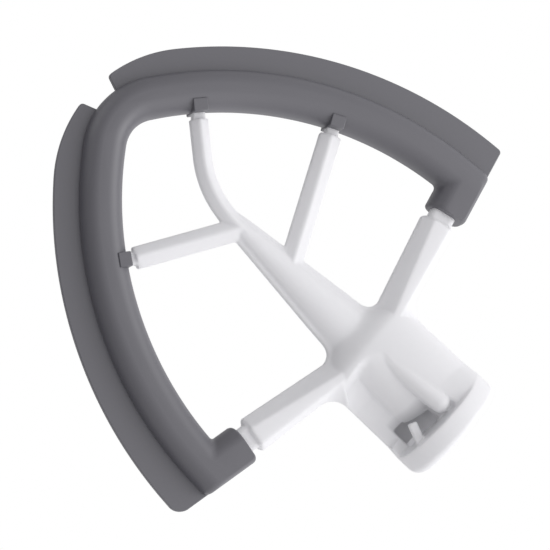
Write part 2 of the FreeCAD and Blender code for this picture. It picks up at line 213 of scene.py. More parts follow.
class MeshMaker:
    """Closed meshes from rings of points."""

    def __init__(self, name: str) -> None:
        """Starts an empty mesh."""
        self.name = name
        self.bm = bmesh.new()

    def loft(self, rings: Sequence[Sequence[Vector]]) -> None:
        """Adds a closed skin through rings of equal length.

        Args:
            rings: Rings of space points, in order along the form.
        """
        start = len(self.bm.verts)
        layers = [[self.bm.verts.new(p) for p in ring] for ring in rings]
        size = len(layers[0])
        for low, high in zip(layers, layers[1:]):
            for i in range(size):
                j = (i + 1) % size
                self.bm.faces.new((low[i], low[j], high[j], high[i]))
        self.bm.faces.new(list(reversed(layers[0])))
        self.bm.faces.new(layers[-1])
        self._turn_outwards(start)

    def twins(self, rings: Sequence[Sequence[Vector]],
              twin: Callable[[Sequence[Vector]], list[Vector]]) -> None:
        """Adds a closed skin and its twin on the other side."""
        self.loft(rings)
        self.loft([twin(ring) for ring in rings])

    def prism(self, outline: Sequence[Vector], front: float, back: float) -> None:
        """Adds a plate of an outline of the blade plane between two depths."""
        self.loft([[at_depth(p, front) for p in outline], [at_depth(p, back) for p in outline]])

    def _turn_outwards(self, start: int) -> None:
        """Points the faces of the newest skin outwards.

        Args:
            start: Number of the skin's first vertex.
        """
        self.bm.verts.ensure_lookup_table()
        fresh = set(self.bm.verts[start:])
        faces = [f for f in self.bm.faces if f.verts[0] in fresh]
        bmesh.ops.recalc_face_normals(self.bm, faces=faces)

    def add(self, mesh: bpy.types.Mesh) -> None:
        """Adds a finished mesh."""
        self.bm.from_mesh(mesh)

    def finish(self) -> bpy.types.Object:
        """Makes the mesh a new object of the scene.

        Returns:
            The new object.
        """
        mesh = bpy.data.meshes.new(self.name)
        self.bm.to_mesh(mesh)
        self.bm.free()
        return placed(self.name, mesh)


class Wiring:
    """Adds nodes to a node tree."""

    def __init__(self, tree: bpy.types.NodeTree) -> None:
        """Takes the tree that gets the nodes."""
        self.tree = tree

    def fill(self, node: bpy.types.Node, inputs: dict[Union[str, int], Any]) -> None:
        """Links or sets inputs of a node.

        Args:
            node: The node.
            inputs: What each input takes, by its name or number: a socket to link or a value.
        """
        for key, value in inputs.items():
            if isinstance(value, bpy.types.NodeSocket):
                self.tree.links.new(value, node.inputs[key])
            else:
                node.inputs[key].default_value = value

    def add(self, kind: str, inputs: Optional[dict[Union[str, int], Any]] = None,
            **settings: Any) -> bpy.types.Node:
        """Adds one node.

        Args:
            kind: Type of the node.
            inputs: What its inputs take.
            settings: Properties of the node itself.

        Returns:
            The new node.
        """
        node = self.tree.nodes.new(kind)
        for name, value in settings.items():
            setattr(node, name, value)
        self.fill(node, inputs or {})
        return node


def evaluated_mesh(source: bpy.types.Object) -> bpy.types.Mesh:
    """Applies the modifiers of an object.

    Args:
        source: The object; it is removed with its data.

    Returns:
        Plain mesh of the result.
    """
    bpy.context.view_layer.update()
    graph = bpy.context.evaluated_depsgraph_get()
    mesh = bpy.data.meshes.new_from_object(source.evaluated_get(graph))
    data = source.data
    bpy.data.objects.remove(source)
    if isinstance(data, bpy.types.Mesh):
        bpy.data.meshes.remove(data)
    else:
        bpy.data.curves.remove(data)
    return mesh


class Join(Enum):
    """Ways to combine two closed meshes."""

    CUT = "DIFFERENCE"
    FUSE = "UNION"


def combine(body: bpy.types.Object, other: bpy.types.Object, way: Join) -> bpy.types.Mesh:
    """Combines two closed meshes with exact edges.

    Args:
        body: The first object; it is removed.
        other: What is taken away or added; it is removed.
        way: Whether it is cut or fused.

    Returns:
        Mesh of the result.
    """
    boolean = body.modifiers.new("combine", "BOOLEAN")
    boolean.operation = way.value
    boolean.solver = "EXACT"
    boolean.use_self = True
    boolean.object = other
    mesh = evaluated_mesh(body)
    bpy.data.meshes.remove(other.data)
    return mesh


def finished(mesh: bpy.types.Mesh, name: str) -> bpy.types.Object:
    """Makes a mesh a smooth-shaded piece at the origin.

    Args:
        mesh: The mesh, in millimetres.
        name: Name of the piece.

    Returns:
        The piece, in metres.
    """
    mesh.transform(Matrix.Scale(MILLIMETRE, 4))
    mesh.name = name
    mesh.shade_smooth()
    return placed(name, mesh)


@dataclass(frozen=True)
class Blend:
    """How a fused form is meshed, softened (more where its parts run together) and thinned out."""

    voxel: float
    passes: int
    extra_passes: int
    keep: float
    factor: float = 0.5


def fuse(source: bpy.types.Object, blend: Blend, name: str, weight: Callable[[Vector], float],
         fine: Callable[[Vector], bool]) -> bpy.types.Object:
    """Fuses overlapping closed skins into one and softens its edges.

    Args:
        source: Object that holds the skins, in millimetres; it is removed.
        blend: Grid size, softening and the share of faces that is kept.
        name: Name of the finished piece.
        weight: Share of the extra softening at a place.
        fine: Whether the faces at a place are all kept.

    Returns:
        The finished piece, in metres, at the origin.
    """
    remesh = source.modifiers.new("fuse", "REMESH")
    remesh.mode = "VOXEL"
    remesh.voxel_size = blend.voxel
    mesh = evaluated_mesh(source)
    piece = placed(name, mesh)
    soft = piece.vertex_groups.new(name="soft_places")
    coarse = piece.vertex_groups.new(name="coarse_places")
    for vertex in mesh.vertices:
        share = weight(vertex.co)
        if share > 0:
            soft.add([vertex.index], share, "REPLACE")
        if not fine(vertex.co):
            coarse.add([vertex.index], 1.0, "REPLACE")
    for places, passes in (("", blend.passes), (soft.name, blend.extra_passes)):
        smooth = piece.modifiers.new("soften", "SMOOTH")
        smooth.factor = blend.factor
        smooth.iterations = passes
        smooth.vertex_group = places
    thin = piece.modifiers.new("thin_out", "DECIMATE")
    thin.ratio = blend.keep
    thin.vertex_group = coarse.name
    return finished(evaluated_mesh(piece), name)


@dataclass
class Rim:
    """Path of the rim and of the arms that carry it, in millimetres and degrees."""

    centre_x: float = 50.8
    centre_z: float = -41.2
    inner_radius: float = 101.8
    width: float = 12.0
    outer_tip_round: float = 23.0
    inner_tip_round: float = 10.0
    arm_droop: float = 12.6
    neck_x: float = 44.8
    neck_z: float = -45.2

    @property
    def centre(self) -> Vector:
        """Centre of the arcs of the left side."""
        return plane_point(-self.centre_x, self.centre_z)

    @property
    def neck(self) -> Vector:
        """End of the sleeve on the arm's axis."""
        return plane_point(self.neck_x, self.neck_z)

    @property
    def along(self) -> Vector:
        """Outward direction of the arm."""
        droop = math.radians(self.arm_droop)
        return plane_point(math.cos(droop), -math.sin(droop))

    @property
    def across(self) -> Vector:
        """Direction across the arm, towards the hub."""
        droop = math.radians(self.arm_droop)
        return plane_point(math.sin(droop), math.cos(droop))

    def contact(self, angle: float) -> Vector:
        """Point of the sleeve's inner edge at an angle below the horizontal."""
        swing = math.radians(angle)
        return self.centre + plane_point(math.cos(swing), -math.sin(swing)) * self.inner_radius

    @staticmethod
    def tip_centre(centre: Vector, side_radius: float, tip_radius: float) -> Vector:
        """Centre, on the shaft axis, of a tip arc that runs into a side arc."""
        return plane_point(0, centre.y - math.sqrt((side_radius - tip_radius) ** 2 - centre.x ** 2))


@dataclass
class Spoke:
    """Section of the spokes and the neck that enters the sleeve, in millimetres."""

    width: float = 6.5
    height: float = 6.4
    edge: float = 2.0
    ridge: float = 0.9
    corner: float = 0.6
    shoulder_gap: float = 2.2
    neck_width: float = 3.7
    neck_height: float = 4.0
    neck_reach: float = 6.0
    neck_corner: float = 0.15
    corner_steps: int = 3
    bend_steps: int = 32

    def tree(self, finish: bpy.types.Material) -> bpy.types.NodeTree:
        """Builds the node tree that sweeps a ridged section along a path.

        Args:
            finish: Material of the swept form.

        Returns:
            A tree with the section's sizes as its inputs.
        """
        tree = bpy.data.node_groups.new("spoke_sweep", "GeometryNodeTree")
        sockets = tree.interface
        sockets.new_socket("Path", in_out="INPUT", socket_type="NodeSocketGeometry")
        for title in SPOKE_SIZES:
            sockets.new_socket(title, in_out="INPUT", socket_type="NodeSocketFloat")
        sockets.new_socket("Finish", in_out="INPUT", socket_type="NodeSocketMaterial").default_value = finish
        sockets.new_socket("Geometry", in_out="OUTPUT", socket_type="NodeSocketGeometry")
        wiring = Wiring(tree)
        entry = wiring.add("NodeGroupInput").outputs

        def half(title: str, sign: float) -> bpy.types.NodeSocket:
            """Half of an input, with a sign."""
            return wiring.add("ShaderNodeMath", {0: entry[title], 1: sign / 2}, operation="MULTIPLY").outputs[0]

        def corner(across: str, side: float, deep: str, face: float) -> bpy.types.NodeSocket:
            """One corner of the section."""
            return wiring.add("ShaderNodeCombineXYZ", {0: half(deep, face), 1: half(across, side)}).outputs[0]

        front = (("Width", -1, "Edge"), ("Ridge", -1, "Height"), ("Ridge", 1, "Height"), ("Width", 1, "Edge"))
        corners = [corner(*place, -1) for place in front] + [corner(*place, 1) for place in reversed(front)]
        circle = wiring.add("GeometryNodeCurvePrimitiveCircle", {"Resolution": len(corners)})
        switch = wiring.add("GeometryNodeIndexSwitch", data_type="VECTOR")
        while len(switch.index_switch_items) < len(corners):
            switch.index_switch_items.new()
        wiring.fill(switch, {"Index": wiring.add("GeometryNodeInputIndex").outputs[0]})
        wiring.fill(switch, {i + 1: place for i, place in enumerate(corners)})
        shape = wiring.add(
            "GeometryNodeSetPosition", {"Geometry": circle.outputs["Curve"], "Position": switch.outputs[0]})
        fillet = wiring.add(
            "GeometryNodeFilletCurve",
            {"Curve": shape.outputs[0], "Count": self.corner_steps, "Radius": entry["Corner"]}, mode="POLY")
        normal = wiring.add(
            "GeometryNodeSetCurveNormal", {"Curve": entry["Path"], "Normal": (0, 1, 0)}, mode="FREE")
        sweep = wiring.add(
            "GeometryNodeCurveToMesh",
            {"Curve": normal.outputs[0], "Profile Curve": fillet.outputs[0], "Fill Caps": True})
        realize = wiring.add("GeometryNodeRealizeInstances", {0: sweep.outputs[0]})
        dressed = wiring.add(
            "GeometryNodeSetMaterial", {"Geometry": realize.outputs[0], "Material": entry["Finish"]})
        wiring.add("NodeGroupOutput", {"Geometry": dressed.outputs[0]})
        return tree

    def sweep(self, tree: bpy.types.NodeTree, path: Sequence[Vector],
              sizes: Sequence[float]) -> bpy.types.Mesh:
        """Sweeps a section along a path of the blade plane.

        Args:
            tree: The sweeping node tree.
            path: Points of the path.
            sizes: Sizes of the section, in the order of SPOKE_SIZES.

        Returns:
            The swept form as a plain mesh.
        """
        curve = bpy.data.curves.new("spoke_path", "CURVE")
        curve.dimensions = "3D"
        spline = curve.splines.new("POLY")
        spline.points.add(len(path) - 1)
        for point, place in zip(spline.points, path):
            point.co = (*at_depth(place, 0), 1)
        carrier = placed("spoke_path", curve)
        modifier = carrier.modifiers.new("sweep", "NODES")
        modifier.node_group = tree
        values = dict(zip(SPOKE_SIZES, sizes))
        for item in tree.interface.items_tree:
            if item.item_type == "SOCKET" and item.in_out == "INPUT" and item.name in values:
                modifier[item.identifier] = values[item.name]
        return evaluated_mesh(carrier)

    def build(self, maker: MeshMaker, tree: bpy.types.NodeTree, path: Sequence[Vector], contact: Vector,
              width: float) -> None:
        """Adds one spoke and its neck.

        Args:
            maker: Mesh that takes the spoke.
            tree: The sweeping node tree.
            path: Path from the spine, ending at the sleeve.
            contact: Where the path meets the sleeve's inner edge.
            width: Width of this spoke.
        """
        along = (contact - path[-2]).normalized()
        end = contact - along * self.shoulder_gap
        body = [*path[:-1], end]
        neck = [end - along * self.edge, contact + along * self.neck_reach]
        maker.add(self.sweep(tree, body, (width, self.height, self.edge, self.ridge, self.corner)))
        maker.add(self.sweep(tree, neck, (
            self.neck_width, self.neck_height, self.neck_height - self.corner, self.neck_width - self.corner,
            self.neck_corner)))


@dataclass
class Arm:
    """Roof-shaped arm between the hub and the sleeve, in millimetres."""

    gap: float = 2.9
    end_width: float = 10.8
    end_height: float = 8.8
    end_tip_flank: float = 3.2
    end_hub_flank: float = 2.1
    chamfer: float = 0.7
    root_width: float = 8.1
    root_height: float = 13.6
    root_tip_flank: float = 4.7
    root_hub_flank: float = 2.0
    root_x: float = 3.0
    edge: float = 2.2
    ridge_round: float = 0.8
    neck_width: float = 7.4
    neck_height: float = 6.0
    neck_round: float = 1.5
    neck_reach: float = 12.0
    corner_steps: int = 4

    def section(self, point: Vector, across: Vector, front: Sequence[tuple[float, float]],
                radius: float) -> list[Vector]:
        """Section about a point from half an outline.

        Args:
            point: Place on the arm's axis.
            across: Direction across the arm.
            front: Offsets across the arm with the half thickness at each.
            radius: Radius of the corners.

        Returns:
            Ring of space points.
        """
        profile = [Vector((t, -d)) for t, d in front] + [Vector((t, d)) for t, d in reversed(front)]
        loop = rounded_loop(profile, [radius] * len(profile), self.corner_steps)
        return [at_depth(point + across * p.x, p.y) for p in loop]

    def roof(self, width: float, height: float, tip_flank: float,
             hub_flank: float) -> list[tuple[float, float]]:
        """Half outline of the roof-shaped section.

        Args:
            width: Width of the section.
            height: Thickness over its ridges.
            tip_flank: Width of its flank on the side of the tip.
            hub_flank: Width of its flank on the side of the hub.

        Returns:
            Offsets across the arm with the half thickness at each.
        """
        return [
            (-width / 2, self.edge / 2),
            (tip_flank - width / 2, height / 2),
            (width / 2 - hub_flank, height / 2),
            (width / 2, self.edge / 2),
        ]

    def ends(self, rim: Rim) -> tuple[Vector, Vector]:
        """Ends of the arm's axis.

        Args:
            rim: Path of the rim.

        Returns:
            The blunt outer end and the buried root.
        """
        end = rim.neck - rim.along * self.gap
        root = rim.neck + rim.along * ((self.root_x - rim.neck.x) / rim.along.x)
        return end, root

    def build(self, maker: MeshMaker, rim: Rim) -> None:
        """Adds both arms with the necks that carry the rim.

        Args:
            maker: Mesh that takes the arms.
            rim: Path of the rim.
        """
        end, root = self.ends(rim)
        draw_in = 2 * self.chamfer
        inner = self.roof(self.root_width, self.root_height, self.root_tip_flank, self.root_hub_flank)
        outer = self.roof(self.end_width, self.end_height, self.end_tip_flank, self.end_hub_flank)
        tip = self.roof(
            self.end_width - draw_in, self.end_height - draw_in, self.end_tip_flank, self.end_hub_flank)
        rings = [
            self.section(root, rim.across, inner, self.ridge_round),
            self.section(end - rim.along * self.chamfer, rim.across, outer, self.ridge_round),
            self.section(end, rim.across, tip, self.ridge_round),
        ]
        block = [(-self.neck_width / 2, self.neck_height / 2), (self.neck_width / 2, self.neck_height / 2)]
        neck = [
            self.section(end - rim.along * self.edge, rim.across, block, self.neck_round),
            self.section(rim.neck + rim.along * self.neck_reach, rim.across, block, self.neck_round),
        ]
        for skin in (rings, neck):
            maker.twins(skin, mirrored)


@dataclass
class Spine:
    """Tapered spine with a thin lip along its edges, in millimetres."""

    root_z: float = -37.4
    root_width: float = 18.7
    root_height: float = 11.0
    end_z: float = -86.9
    end_width: float = 6.9
    end_height: float = 6.0
    tail_x: float = -0.15
    tail_z: float = -93.0
    tail_width: float = 4.5
    tail_height: float = 5.0
    lip: float = 1.2
    lip_height: float = 2.6
    lip_round: float = 0.9
    lip_steps: int = 5
    crown_steps: int = 24

    def section(self, z: float, width: float, height: float, shift: float = 0.0) -> list[Vector]:
        """Crowned section with its lips.

        Args:
            z: Height of the section.
            width: Width over the lips.
            height: Thickness at the crown.
            shift: How far it is moved from the shaft axis.

        Returns:
            Ring of space points.
        """
        half, thin = width / 2, self.lip_height / 2
        crown = half - self.lip
        rise = height / 2 - thin
        radius = (crown ** 2 + rise ** 2) / (2 * rise)
        turns = [math.pi / 2 * share for share in shares(self.lip_steps)]
        corner = plane_point(half - self.lip_round, self.lip_round - thin)
        edge = [corner + plane_point(math.sin(a), -math.cos(a)) * self.lip_round for a in turns]
        front = [Vector((-p.x, p.y)) for p in reversed(edge)]
        for share in shares(self.crown_steps):
            x = crown * (2 * share - 1)
            front.append(Vector((x, -thin - (math.sqrt(radius ** 2 - x ** 2) - (radius - rise)))))
        front += edge
        loop = front + [Vector((p.x, -p.y)) for p in reversed(front)]
        return [Vector((p.x + shift, p.y, z)) for p in loop]

    def build(self, maker: MeshMaker) -> None:
        """Adds the spine, which ends inside the bent spoke.

        Args:
            maker: Mesh that takes the spine.
        """
        maker.loft([
            self.section(self.root_z, self.root_width, self.root_height),
            self.section(self.end_z, self.end_width, self.end_height),
            self.section(self.tail_z, self.tail_width, self.tail_height, self.tail_x),
        ])


@dataclass
class Fillets:
    """Concave fillets of the arms in the blade plane, in millimetres."""

    hub_radius: float = 6.5
    hub_depth: float = 11.0
    flank_share: float = 0.85
    fade: float = 0.85
    levels: int = 13
    spine_radius: float = 3.8
    sink: float = 1.2
    steps: int = 12

    def ring(self, first: tuple[Vector, Vector], second: tuple[Vector, Vector], radius: float,
             depth: float) -> list[Vector]:
        """Outline of a fillet between two edges.

        Args:
            first: Point and direction of one edge.
            second: Point and direction of the other.
            radius: Radius of the fillet.
            depth: Depth of the outline.

        Returns:
            Ring of space points.
        """
        (p, p_run), (q, q_run) = first, second
        turn = p_run.x * q_run.y - p_run.y * q_run.x
        gap = q - p
        point = p + p_run * ((gap.x * q_run.y - gap.y * q_run.x) / turn)
        start, end, centre = corner_round(point, point + p_run, point + q_run, radius)
        down = (point - centre).normalized() * self.sink
        outline = short_arc(centre, start, end, self.steps) + [end, end + down, point + down, start + down]
        return [at_depth(place, depth) for place in outline]

    def build(self, maker: MeshMaker, arm: Arm, rim: Rim, spine: Spine, hub_side: float) -> None:
        """Adds the fillets of the arms against the hub and the spine.

        Args:
            maker: Mesh that takes the fillets.
            arm: The arm's sizes.
            rim: Path of the rim.
            spine: The spine's sizes.
            hub_side: Distance of the hub's side from the shaft axis.
        """
        end, root = arm.ends(rim)
        hub_edge = root + rim.across * (arm.root_width / 2)
        hub_run = (end + rim.across * (arm.end_width / 2) - hub_edge).normalized()
        tip_edge = root - rim.across * (arm.root_width / 2)
        tip_run = (end - rim.across * (arm.end_width / 2) - tip_edge).normalized()
        side = plane_point(spine.root_width / 2, spine.root_z)
        side_run = (plane_point(spine.end_width / 2, spine.end_z) - side).normalized()
        half, top = arm.edge / 2, arm.root_height / 2
        against_hub: list[list[Vector]] = []
        for share in shares(self.levels):
            level = 2 * share - 1
            depth = self.flank_share * top * level
            inset = arm.root_hub_flank * max(0.0, abs(depth) - half) / (top - half)
            hub_x = hub_side * math.sqrt(1 - (depth / self.hub_depth) ** 2)
            radius = self.hub_radius * (1 - self.fade * level ** 2)
            flank = (hub_edge - rim.across * inset, hub_run)
            against_hub.append(self.ring(flank, (plane_point(hub_x, 0), plane_point(0, 1)), radius, depth))
        edges = ((tip_edge, tip_run), (side, side_run))
        against_spine = [self.ring(*edges, self.spine_radius, depth) for depth in (-half, half)]
        for skin in (against_hub, against_spine):
            maker.twins(skin, mirrored)


@dataclass(frozen=True)
class ChannelStep:
    """The hub's channel at one height, in millimetres."""

    z: float
    floor: float
    groove_x: float
    groove_y: float
    wall: float


@dataclass
class Hub:
    """Hub with its collar, shaft bore and the reliefs of its faces, in millimetres and degrees."""

    radius: float = 16.8
    ledge: float = 0.3
    neck_height: float = 28.6
    waist_z: float = -36.4
    waist_height: float = 18.0
    foot_z: float = -46.0
    foot_width: float = 12.0
    foot_height: float = 8.4
    foot_steps: int = 12
    collar_height: float = 8.2
    collar_round: float = 2.9
    collar_front_round: float = 8.5
    collar_steps: int = 8
    bore_radius: float = 6.6
    bore_depth: float = 31.0
    slot_width: float = 4.8
    pin_reach: float = 12.2
    chamber_floor: tuple[float, float] = (-14.6, -12.4)
    chamber_turn: float = 72.0
    finger: tuple[Vector, Vector] = (Vector((-0.2, -6.4, -33.5)), Vector((-0.2, -11.6, -11.8)))
    finger_radius: float = 2.8
    finger_relief: float = 1.2
    finger_sides: int = 24
    finger_steps: int = 8
    tube_wall: float = 2.8
    channel: tuple[ChannelStep, ...] = (
        ChannelStep(z=-36.2, floor=-9.4, groove_x=7.0, groove_y=-8.7, wall=-9.4),
        ChannelStep(z=-32.6, floor=-6.6, groove_x=8.6, groove_y=-3.2, wall=-0.5),
        ChannelStep(z=-26.0, floor=-4.8, groove_x=9.3, groove_y=-1.6, wall=1.6),
        ChannelStep(z=-8.2, floor=-3.0, groove_x=9.6, groove_y=-0.8, wall=1.8),
    )
    channel_side: float = 18.0
    channel_front: float = -20.0
    flare_turn: tuple[float, float] = (178.0, 258.0)
    flare_start: tuple[float, float] = (-11.8, -16.0)
    flare_sink: float = 4.0
    flare_ledge: float = 0.05
    flare_steps: int = 20
    lug_middle: Vector = field(default_factory=lambda: plane_point(9.55, -11.75))
    lug_ends: tuple[float, float] = (-1.9, 4.2)
    lug_depths: tuple[float, float] = (-9.2, -6.8)
    lug_width: float = 2.5
    lug_tilt: float = 23.0
    steps: int = 96
    channel_steps: int = 24
    overlap: float = 0.02
    fine_below: float = 6.0
    fine_around: float = 1.0

    @property
    def side(self) -> float:
        """Distance of the hub body's side from the shaft axis."""
        return self.radius - self.ledge

    def oval(self, width: float, height: float, z: float, x: float = 0.0, y: float = 0.0) -> list[Vector]:
        """Oval ring across the shaft axis."""
        turns = full_turn(self.steps)
        return [Vector((x + width / 2 * math.cos(t), y + height / 2 * math.sin(t), z)) for t in turns]

    def body(self) -> bpy.types.Object:
        """Makes the solid hub and collar.

        Returns:
            An object with one closed skin.
        """
        width = 2 * self.side
        rings = []
        for share in reversed(shares(self.foot_steps)):
            draw = (1 - math.cos(math.pi * share)) / 2
            rings.append(self.oval(
                width + (self.foot_width - width) * draw,
                self.waist_height + (self.foot_height - self.waist_height) * draw,
                self.waist_z + (self.foot_z - self.waist_z) * share))
        ledge = -self.collar_height
        rings.append(self.oval(width, self.neck_height, ledge))
        rings.append(self.oval(2 * self.radius, 2 * self.radius, ledge))
        for share in shares(self.collar_steps):
            swing = math.pi / 2 * share
            draw = 1 - math.cos(swing)
            rings.append(self.oval(
                2 * (self.radius - self.collar_round * draw),
                2 * (self.radius - self.collar_front_round * draw),
                -self.collar_round * (1 - math.sin(swing))))
        maker = MeshMaker("hub_body")
        maker.loft(rings)
        return maker.finish()

    def box_rings(self, low: Vector, high: Vector) -> list[list[Vector]]:
        """Rings of an upright box between two corners."""
        corners = [(low.x, low.y), (high.x, low.y), (high.x, high.y), (low.x, high.y)]
        return [[Vector((x, y, z)) for x, y in corners] for z in (low.z, high.z)]

    def tube_rings(self, ends: tuple[Vector, Vector], radii: tuple[float, float]) -> list[list[Vector]]:
        """Rings of a round form between two heights."""
        return [self.oval(2 * r, 2 * r, p.z, p.x, p.y) for p, r in zip(ends, radii)]

    def channel_ring(self, step: ChannelStep) -> list[Vector]:
        """Ring of the channel, whose floor runs over the round tube of the bore into a groove.

        Args:
            step: Depths of the floor before the bore and of the outer wall at the hub's side, and the
                groove between them.

        Returns:
            Ring of space points.
        """
        tube = self.bore_radius + self.tube_wall
        near = Vector((0, step.floor))
        groove = Vector((step.groove_x, step.groove_y))
        along = groove - near
        first, last = -math.pi / 2, math.atan2(groove.y, groove.x)
        points = [Vector((0, self.channel_front))]
        for share in shares(self.channel_steps):
            turn = first + (last - first) * share
            ray = Vector((math.cos(turn), math.sin(turn)))
            straight = (near.x * along.y - near.y * along.x) / (ray.x * along.y - ray.y * along.x)
            points.append(ray * max(tube, straight))
        points += [Vector((self.channel_side, depth)) for depth in (step.wall, self.channel_front)]
        return [Vector((p.x, p.y, step.z)) for p in points]

    def chamber_rings(self) -> list[list[Vector]]:
        """Makes the chamber under the collar that the pin turns into.

        Returns:
            Its sloping floor and its roof.
        """
        low, high = self.chamber_floor
        ledge = -self.collar_height + self.overlap
        floor, roof = [Vector((0, 0, (low + high) / 2))], [Vector((0, 0, ledge))]
        for share in shares(self.channel_steps):
            turn = -math.radians(self.chamber_turn) * share
            x, y = self.pin_reach * math.cos(turn), self.pin_reach * math.sin(turn)
            floor.append(Vector((x, y, low + (high - low) * share)))
            roof.append(Vector((x, y, ledge)))
        return [floor, roof]

    def cuts(self) -> bpy.types.Object:
        """Makes what is cut out of the hub: bore, pin slot, chambers, channels and finger reliefs.

        Returns:
            An object with one closed skin for each cut.
        """
        ledge = -self.collar_height
        tip = self.finger[1]
        side = self.finger_radius + self.finger_relief
        relief = self.box_rings(
            Vector((tip.x - side, -self.radius, tip.z - self.finger_relief)),
            Vector((tip.x + side, tip.y, ledge + self.overlap)))
        channel = [self.channel_ring(step) for step in self.channel]
        maker = MeshMaker("hub_cuts")
        bore = (Vector((0, 0, -self.bore_depth)), Vector((0, 0, self.overlap)))
        maker.loft(self.tube_rings(bore, (self.bore_radius, self.bore_radius)))
        maker.loft(self.box_rings(
            Vector((-self.pin_reach, -self.slot_width / 2, self.chamber_floor[0])),
            Vector((self.pin_reach, self.slot_width / 2, self.overlap))))
        for skin in (self.chamber_rings(), channel, relief):
            maker.twins(skin, half_turned)
        return maker.finish()

    def skin(self, ray: Vector, z: float) -> float:
        """Reach of the hub's body from the shaft axis.

        Args:
            ray: Direction across the shaft axis.
            z: Height, between the waist and the collar.

        Returns:
            Distance of the body's surface in that direction.
        """
        rise = (z - self.waist_z) / (-self.collar_height - self.waist_z)
        deep = (self.waist_height + (self.neck_height - self.waist_height) * rise) / 2
        return 1 / math.hypot(ray.x / self.side, ray.y / deep)

    def flare_rings(self) -> list[list[Vector]]:
        """Makes the flare that widens one side of the hub to its collar.

        Returns:
            Sections of the flare, in order round the shaft axis.
        """
        rings = []
        ledge = -self.collar_height
        top = ledge + self.overlap
        first, last = self.flare_turn
        for share in shares(self.flare_steps):
            turn = math.radians(first + (last - first) * share)
            start = self.flare_start[0] + (self.flare_start[1] - self.flare_start[0]) * share
            ray = Vector((math.cos(turn), math.sin(turn), 0))
            low, high = self.skin(ray, start), self.skin(ray, ledge)
            wide = self.radius - self.flare_ledge - high
            proud = high + wide * math.cos(math.pi / 2 * max(0.0, 2 * share - 1))
            outer = [(low, start), (proud, top)]
            inner = [(reach - self.flare_sink, z) for reach, z in reversed(outer)]
            rings.append([ray * reach + Vector((0, 0, z)) for reach, z in outer + inner])
        return rings

    @property
    def lug_run(self) -> Vector:
        """Direction of the small lug, towards the collar."""
        tilt = math.radians(self.lug_tilt)
        return plane_point(math.sin(tilt), math.cos(tilt))

    def lug_rings(self) -> list[list[Vector]]:
        """Makes the small tilted lug.

        Returns:
            Its outline at its front and at its back.
        """
        run_out = self.lug_run
        side = plane_point(run_out.y, -run_out.x) * (self.lug_width / 2)
        low, high = (self.lug_middle + run_out * reach for reach in self.lug_ends)
        outline = [low - side, low + side, high + side, high - side]
        return [[at_depth(p, depth) for p in outline] for depth in self.lug_depths]

    def ribs(self, maker: MeshMaker) -> None:
        """Adds the flare, the finger and the small lug of both faces.

        Args:
            maker: Mesh that takes the ribs.
        """
        start, end = self.finger
        along = (end - start).normalized()
        side = along.orthogonal().normalized()
        other = along.cross(side)
        compass = [side * math.cos(t) + other * math.sin(t) for t in full_turn(self.finger_sides)]
        swings = [math.pi / 2 * i / self.finger_steps for i in range(self.finger_steps)]
        rings = []
        for place, swing in [(start, 0.0)] + [(end, swing) for swing in swings]:
            reach = self.finger_radius * math.cos(swing)
            middle = place + along * (self.finger_radius * math.sin(swing))
            rings.append([middle + ray * reach for ray in compass])
        for skin in (rings, self.lug_rings(), self.flare_rings()):
            maker.twins(skin, half_turned)

    def fine(self, place: Vector) -> bool:
        """Whether a place is by a pin chamber, where the mesh stays fine."""
        around = math.hypot(place.x, place.y) < self.pin_reach + self.fine_around
        return around and place.z > self.chamber_floor[0] - self.fine_below

    def build(self, maker: MeshMaker) -> None:
        """Adds the cut hub and its ribs to a mesh."""
        maker.add(combine(self.body(), self.cuts(), Join.CUT))
        self.ribs(maker)


@dataclass
class PaintedShade:
    """Painted shade that darkens the coat in the bore and the pin chambers, in millimetres and degrees."""

    lip: tuple[float, float] = (0.8, 2.4)
    bore_fade: tuple[float, float] = (0.5, 0.2)
    foot: float = 0.5
    lug_skin: float = 0.35
    finger_skin: float = 0.4
    ledge: float = 0.5
    near_turn: float = 4.0
    far_turn: float = 12.0
    slot_skin: float = 0.3
    tube_skin: float = 0.6
    floor_fade: tuple[float, float] = (-3.0, 1.0)
    reach_fade: float = 0.8

    def on_rib(self, hub: Hub, place: Vector) -> bool:
        """Whether a place of the front is on the lug or the finger, which get no painted shade.

        Args:
            hub: The hub's sizes.
            place: The place.

        Returns:
            True on the lug and on the finger.
        """
        offset = plane_point(place.x, place.z) - hub.lug_middle
        on_lug = (abs(offset.dot(hub.lug_run.orthogonal())) < hub.lug_width / 2 + self.lug_skin
                  and offset.dot(hub.lug_run) > hub.lug_ends[0] - self.lug_skin
                  and hub.lug_depths[0] - self.lug_skin < place.y < hub.lug_depths[1] + self.lug_skin)
        start, end = hub.finger
        along = (end - start).normalized()
        shift = max(0.0, min((end - start).length, (place - start).dot(along)))
        return on_lug or (place - start - along * shift).length < hub.finger_radius + self.finger_skin

    def share(self, hub: Hub, place: Vector) -> float:
        """Share of painted shade at a place of the casting.

        Args:
            hub: The hub's sizes.
            place: The place.

        Returns:
            1 where the shade is fully painted and 0 where the coat keeps its own colour.
        """
        # Painted shade: full on the bore wall below its mouth and inside the pin chambers, slot and tube,
        # fading out at their edges and floors.
        front = place if place.y < 0 else half_turned([place])[0]
        reach = math.hypot(front.x, front.y)
        bore = ease(-front.z, *self.lip) * ease(reach - hub.bore_radius, *self.bore_fade)
        bore *= ease(front.z + hub.bore_depth, -self.foot, 0.0)
        if self.on_rib(hub, front) or front.z > -hub.collar_height - self.ledge:
            return bore
        in_slot = abs(front.y) < hub.slot_width / 2 + self.slot_skin
        in_tube = reach < hub.bore_radius + hub.tube_wall - self.tube_skin
        turn = -math.degrees(math.atan2(front.y, front.x))
        inside = ease(turn, -self.near_turn, self.near_turn) * ease(turn - hub.chamber_turn, self.far_turn, 0.0)
        chamber = 1.0 if in_slot or in_tube else inside
        chamber *= ease(front.z - hub.chamber_floor[0], *self.floor_fade)
        return max(bore, chamber * ease(reach - hub.pin_reach, self.reach_fade, 0.0))


